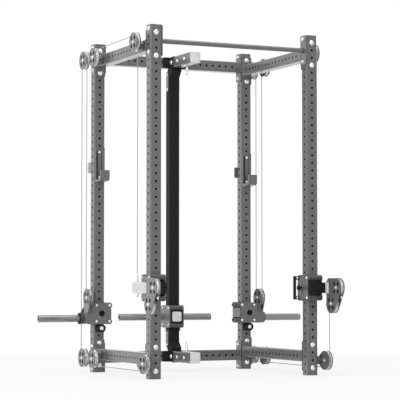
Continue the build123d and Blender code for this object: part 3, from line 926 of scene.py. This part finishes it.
def lat_column():
    arm_front = low("lat_arms").y
    levels = [middle("rear_rail_lower").z, middle("rear_rail_upper").z]
    caps = bmesh.new()
    for z in levels:
        rounded_block(caps, (0, arm_front - cap_t / 2, z), (tube, cap_t, tube), cap_round)
    add_piece("lat_arm_caps", caps, white_plastic, "frame")

    bolts = bmesh.new()
    collar_y = low("lat_post").y
    for z in levels:
        for way in (-1, 1):
            for back in lat_arm_bolts:
                lat_bolt(bolts, (way * half_tube, collar_y - back, z), (way, 0, 0))
            neck_y = y_rear - half_tube - neck_bolt_back
            frame_bolt(bolts, (way * half_tube, neck_y, z), (way, 0, 0))
    y_post = middle("lat_rollers").y
    stop_z = low("lat_trolley").z - rest_gap - lat_stop_r
    strap_face = half_tube + gusset_t
    stop_face = span("lat_rollers").x / 2 + plate_t
    for way in (-1, 1):
        for z in (levels[0] + half_tube + gusset_inset, levels[1] - half_tube - gusset_inset):
            lat_bolt(bolts, (way * strap_face, y_post, z), (way, 0, 0))
        stop = (way * stop_face, y_post, stop_z)
        button_head(bolts, stop, (way, 0, 0), stop_bolt_r, stop_bolt_h)
        lat_bolt(bolts, (way * strap_face, y_post, sum(levels) - stop_z), (way, 0, 0))
    add_piece("lat_arm_bolts", bolts, bolt_zinc, "frame")

    hook_y = arm_front + lat_hook_back
    snap_hook("lat_hook_upper", (0, hook_y, levels[1] - half_tube), (0, 0, -1), "frame")
    snap_hook("lat_hook_lower", (0, hook_y, levels[0] + half_tube), (0, 0, 1), "frame")

    rollers = middle("lat_rollers")
    dy = span("lat_rollers").y / 2 - roller_r
    dz = span("lat_rollers").z / 2 - roller_r
    plate = span("lat_rollers").x / 2 + plate_t
    plates = bmesh.new()
    for way in (-1, 1):
        for y in (rollers.y - dy, rollers.y + dy):
            for z in (rollers.z - dz, rollers.z + dz):
                plate_bolt(plates, (way * plate, y, z), (way, 0, 0))
    add_piece("lat_plate_bolts", plates, bolt_zinc, "lat_carriage")

    border = bmesh.new()
    cover = middle("lat_cover")
    seat_y = high("lat_cover").y - cover_frame_t / 2
    width = span("lat_cover").x + 2 * cover_rim
    rounded_block(border, (0, seat_y, cover.z), (width, cover_frame_t, width), cover_round)
    add_piece("lat_cover_frame", border, black_rubber, "lat_carriage")

    sleeves = bmesh.new()
    for side, way in SIDES:
        horn_sleeve(sleeves, f"lat_horn_{side}", way)
    add_piece("lat_horn_sleeves", sleeves, horn_steel, "lat_carriage")


lat_column()


# Bolts in the middle of the rubber bumpers
bumper_bolts = bmesh.new()
for side_name, side_way in SIDES:
    bumper_z = low(f"rear_trolley_{side_name}").z - rest_gap - bumper_r
    seat = (side_way * x_up, low("trolley_bumpers").y + bumper_sink, bumper_z)
    button_head(bumper_bolts, seat, (0, -1, 0), bumper_bolt_r, bumper_bolt_h)
add_piece("bumper_bolts", bumper_bolts, bolt_zinc, "frame")


# Floor, light and camera
def seen_white(nodes, links):
    """1 for rays that meet a plain white studio: the camera's, mirrored or refracted ones."""
    path = nodes.new("ShaderNodeLightPath")
    seen = path.outputs["Is Camera Ray"]
    for ray in ("Is Glossy Ray", "Is Transmission Ray"):
        either = nodes.new("ShaderNodeMath")
        either.operation = "MAXIMUM"
        links.new(seen, either.inputs[0])
        links.new(path.outputs[ray], either.inputs[1])
        seen = either.outputs["Value"]
    return seen


def studio():
    scene = bpy.context.scene
    scene.view_settings.view_transform = "Standard"
    world = bpy.data.worlds.new("studio_world")
    scene.world = world
    world.use_nodes = True
    nodes, links = world.node_tree.nodes, world.node_tree.links
    glow = nodes["Background"]
    glow.inputs["Color"].default_value = (1.0, 1.0, 1.0, 1.0)
    glow.inputs["Strength"].default_value = world_glow
    white = nodes.new("ShaderNodeBackground")
    white.inputs["Color"].default_value = (1.0, 1.0, 1.0, 1.0)
    white.inputs["Strength"].default_value = 1.0
    mix = nodes.new("ShaderNodeMixShader")
    links.new(seen_white(nodes, links), mix.inputs["Fac"])
    links.new(glow.outputs["Background"], mix.inputs[1])
    links.new(white.outputs["Background"], mix.inputs[2])
    links.new(mix.outputs["Shader"], nodes["World Output"].inputs["Surface"])


def lamp(name, place, target, size, power):
    data = bpy.data.lights.new(name, "AREA")
    data.shape = "RECTANGLE"
    data.size, data.size_y = size
    data.energy = power
    light = bpy.data.objects.new(name, data)
    light.location = place
    light.rotation_euler = (Vector(target) - Vector(place)).to_track_quat("-Z", "Y").to_euler()
    bpy.context.scene.collection.objects.link(light)


def floor():
    bm = bmesh.new()
    bmesh.ops.create_circle(bm, cap_ends=True, radius=floor_r, segments=96)
    mesh = bpy.data.meshes.new("studio_floor")
    bm.to_mesh(mesh)
    bm.free()
    material, shader = new_material("floor_white", (floor_grey, floor_grey, floor_grey), 0.6)
    nodes, links = material.node_tree.nodes, material.node_tree.links
    place = nodes.new("ShaderNodeTexCoord")
    reach = nodes.new("ShaderNodeVectorMath")
    reach.operation = "LENGTH"
    fade = nodes.new("ShaderNodeMapRange")
    fade.inputs["From Min"].default_value = floor_fade[0]
    fade.inputs["From Max"].default_value = floor_fade[1]
    fade.inputs["To Min"].default_value = floor_fade_least
    white = nodes.new("ShaderNodeEmission")
    white.inputs["Strength"].default_value = 1.0
    seen = nodes.new("ShaderNodeMath")
    seen.operation = "MULTIPLY"
    mix = nodes.new("ShaderNodeMixShader")
    links.new(place.outputs["Object"], reach.inputs[0])
    links.new(reach.outputs["Value"], fade.inputs["Value"])
    links.new(fade.outputs["Result"], seen.inputs[0])
    links.new(seen_white(nodes, links), seen.inputs[1])
    links.new(seen.outputs["Value"], mix.inputs["Fac"])
    links.new(shader.outputs["BSDF"], mix.inputs[1])
    links.new(white.outputs["Emission"], mix.inputs[2])
    links.new(mix.outputs["Shader"], nodes["Material Output"].inputs["Surface"])
    mesh.materials.append(material)
    ground = bpy.data.objects.new("studio_floor", mesh)
    bpy.context.scene.collection.objects.link(ground)


def camera():
    data = bpy.data.cameras.new("photo_camera")
    data.lens = camera_lens
    data.sensor_width = camera_sensor
    data.clip_end = camera_far
    eye = bpy.data.objects.new("photo_camera", data)
    eye.location = (camera_x, y_front - camera_back, camera_z)
    eye.rotation_euler = [radians(v) for v in camera_turn]
    bpy.context.scene.collection.objects.link(eye)
    bpy.context.scene.camera = eye


studio()
floor()
lamp("key", (-9.5, -3.2, 6.6), target=(0.0, 0.0, 1.0), size=(6.3, 6.3), power=600.0)
lamp("low", (-3.4, -4.2, 0.2), target=(0.0, 0.0, 0.7), size=(2.5, 0.3), power=12.0)
lamp("top", (0.0, -1.0, 6.0), target=(0.0, 0.0, 0.0), size=(5.0, 5.0), power=125.0)
camera()
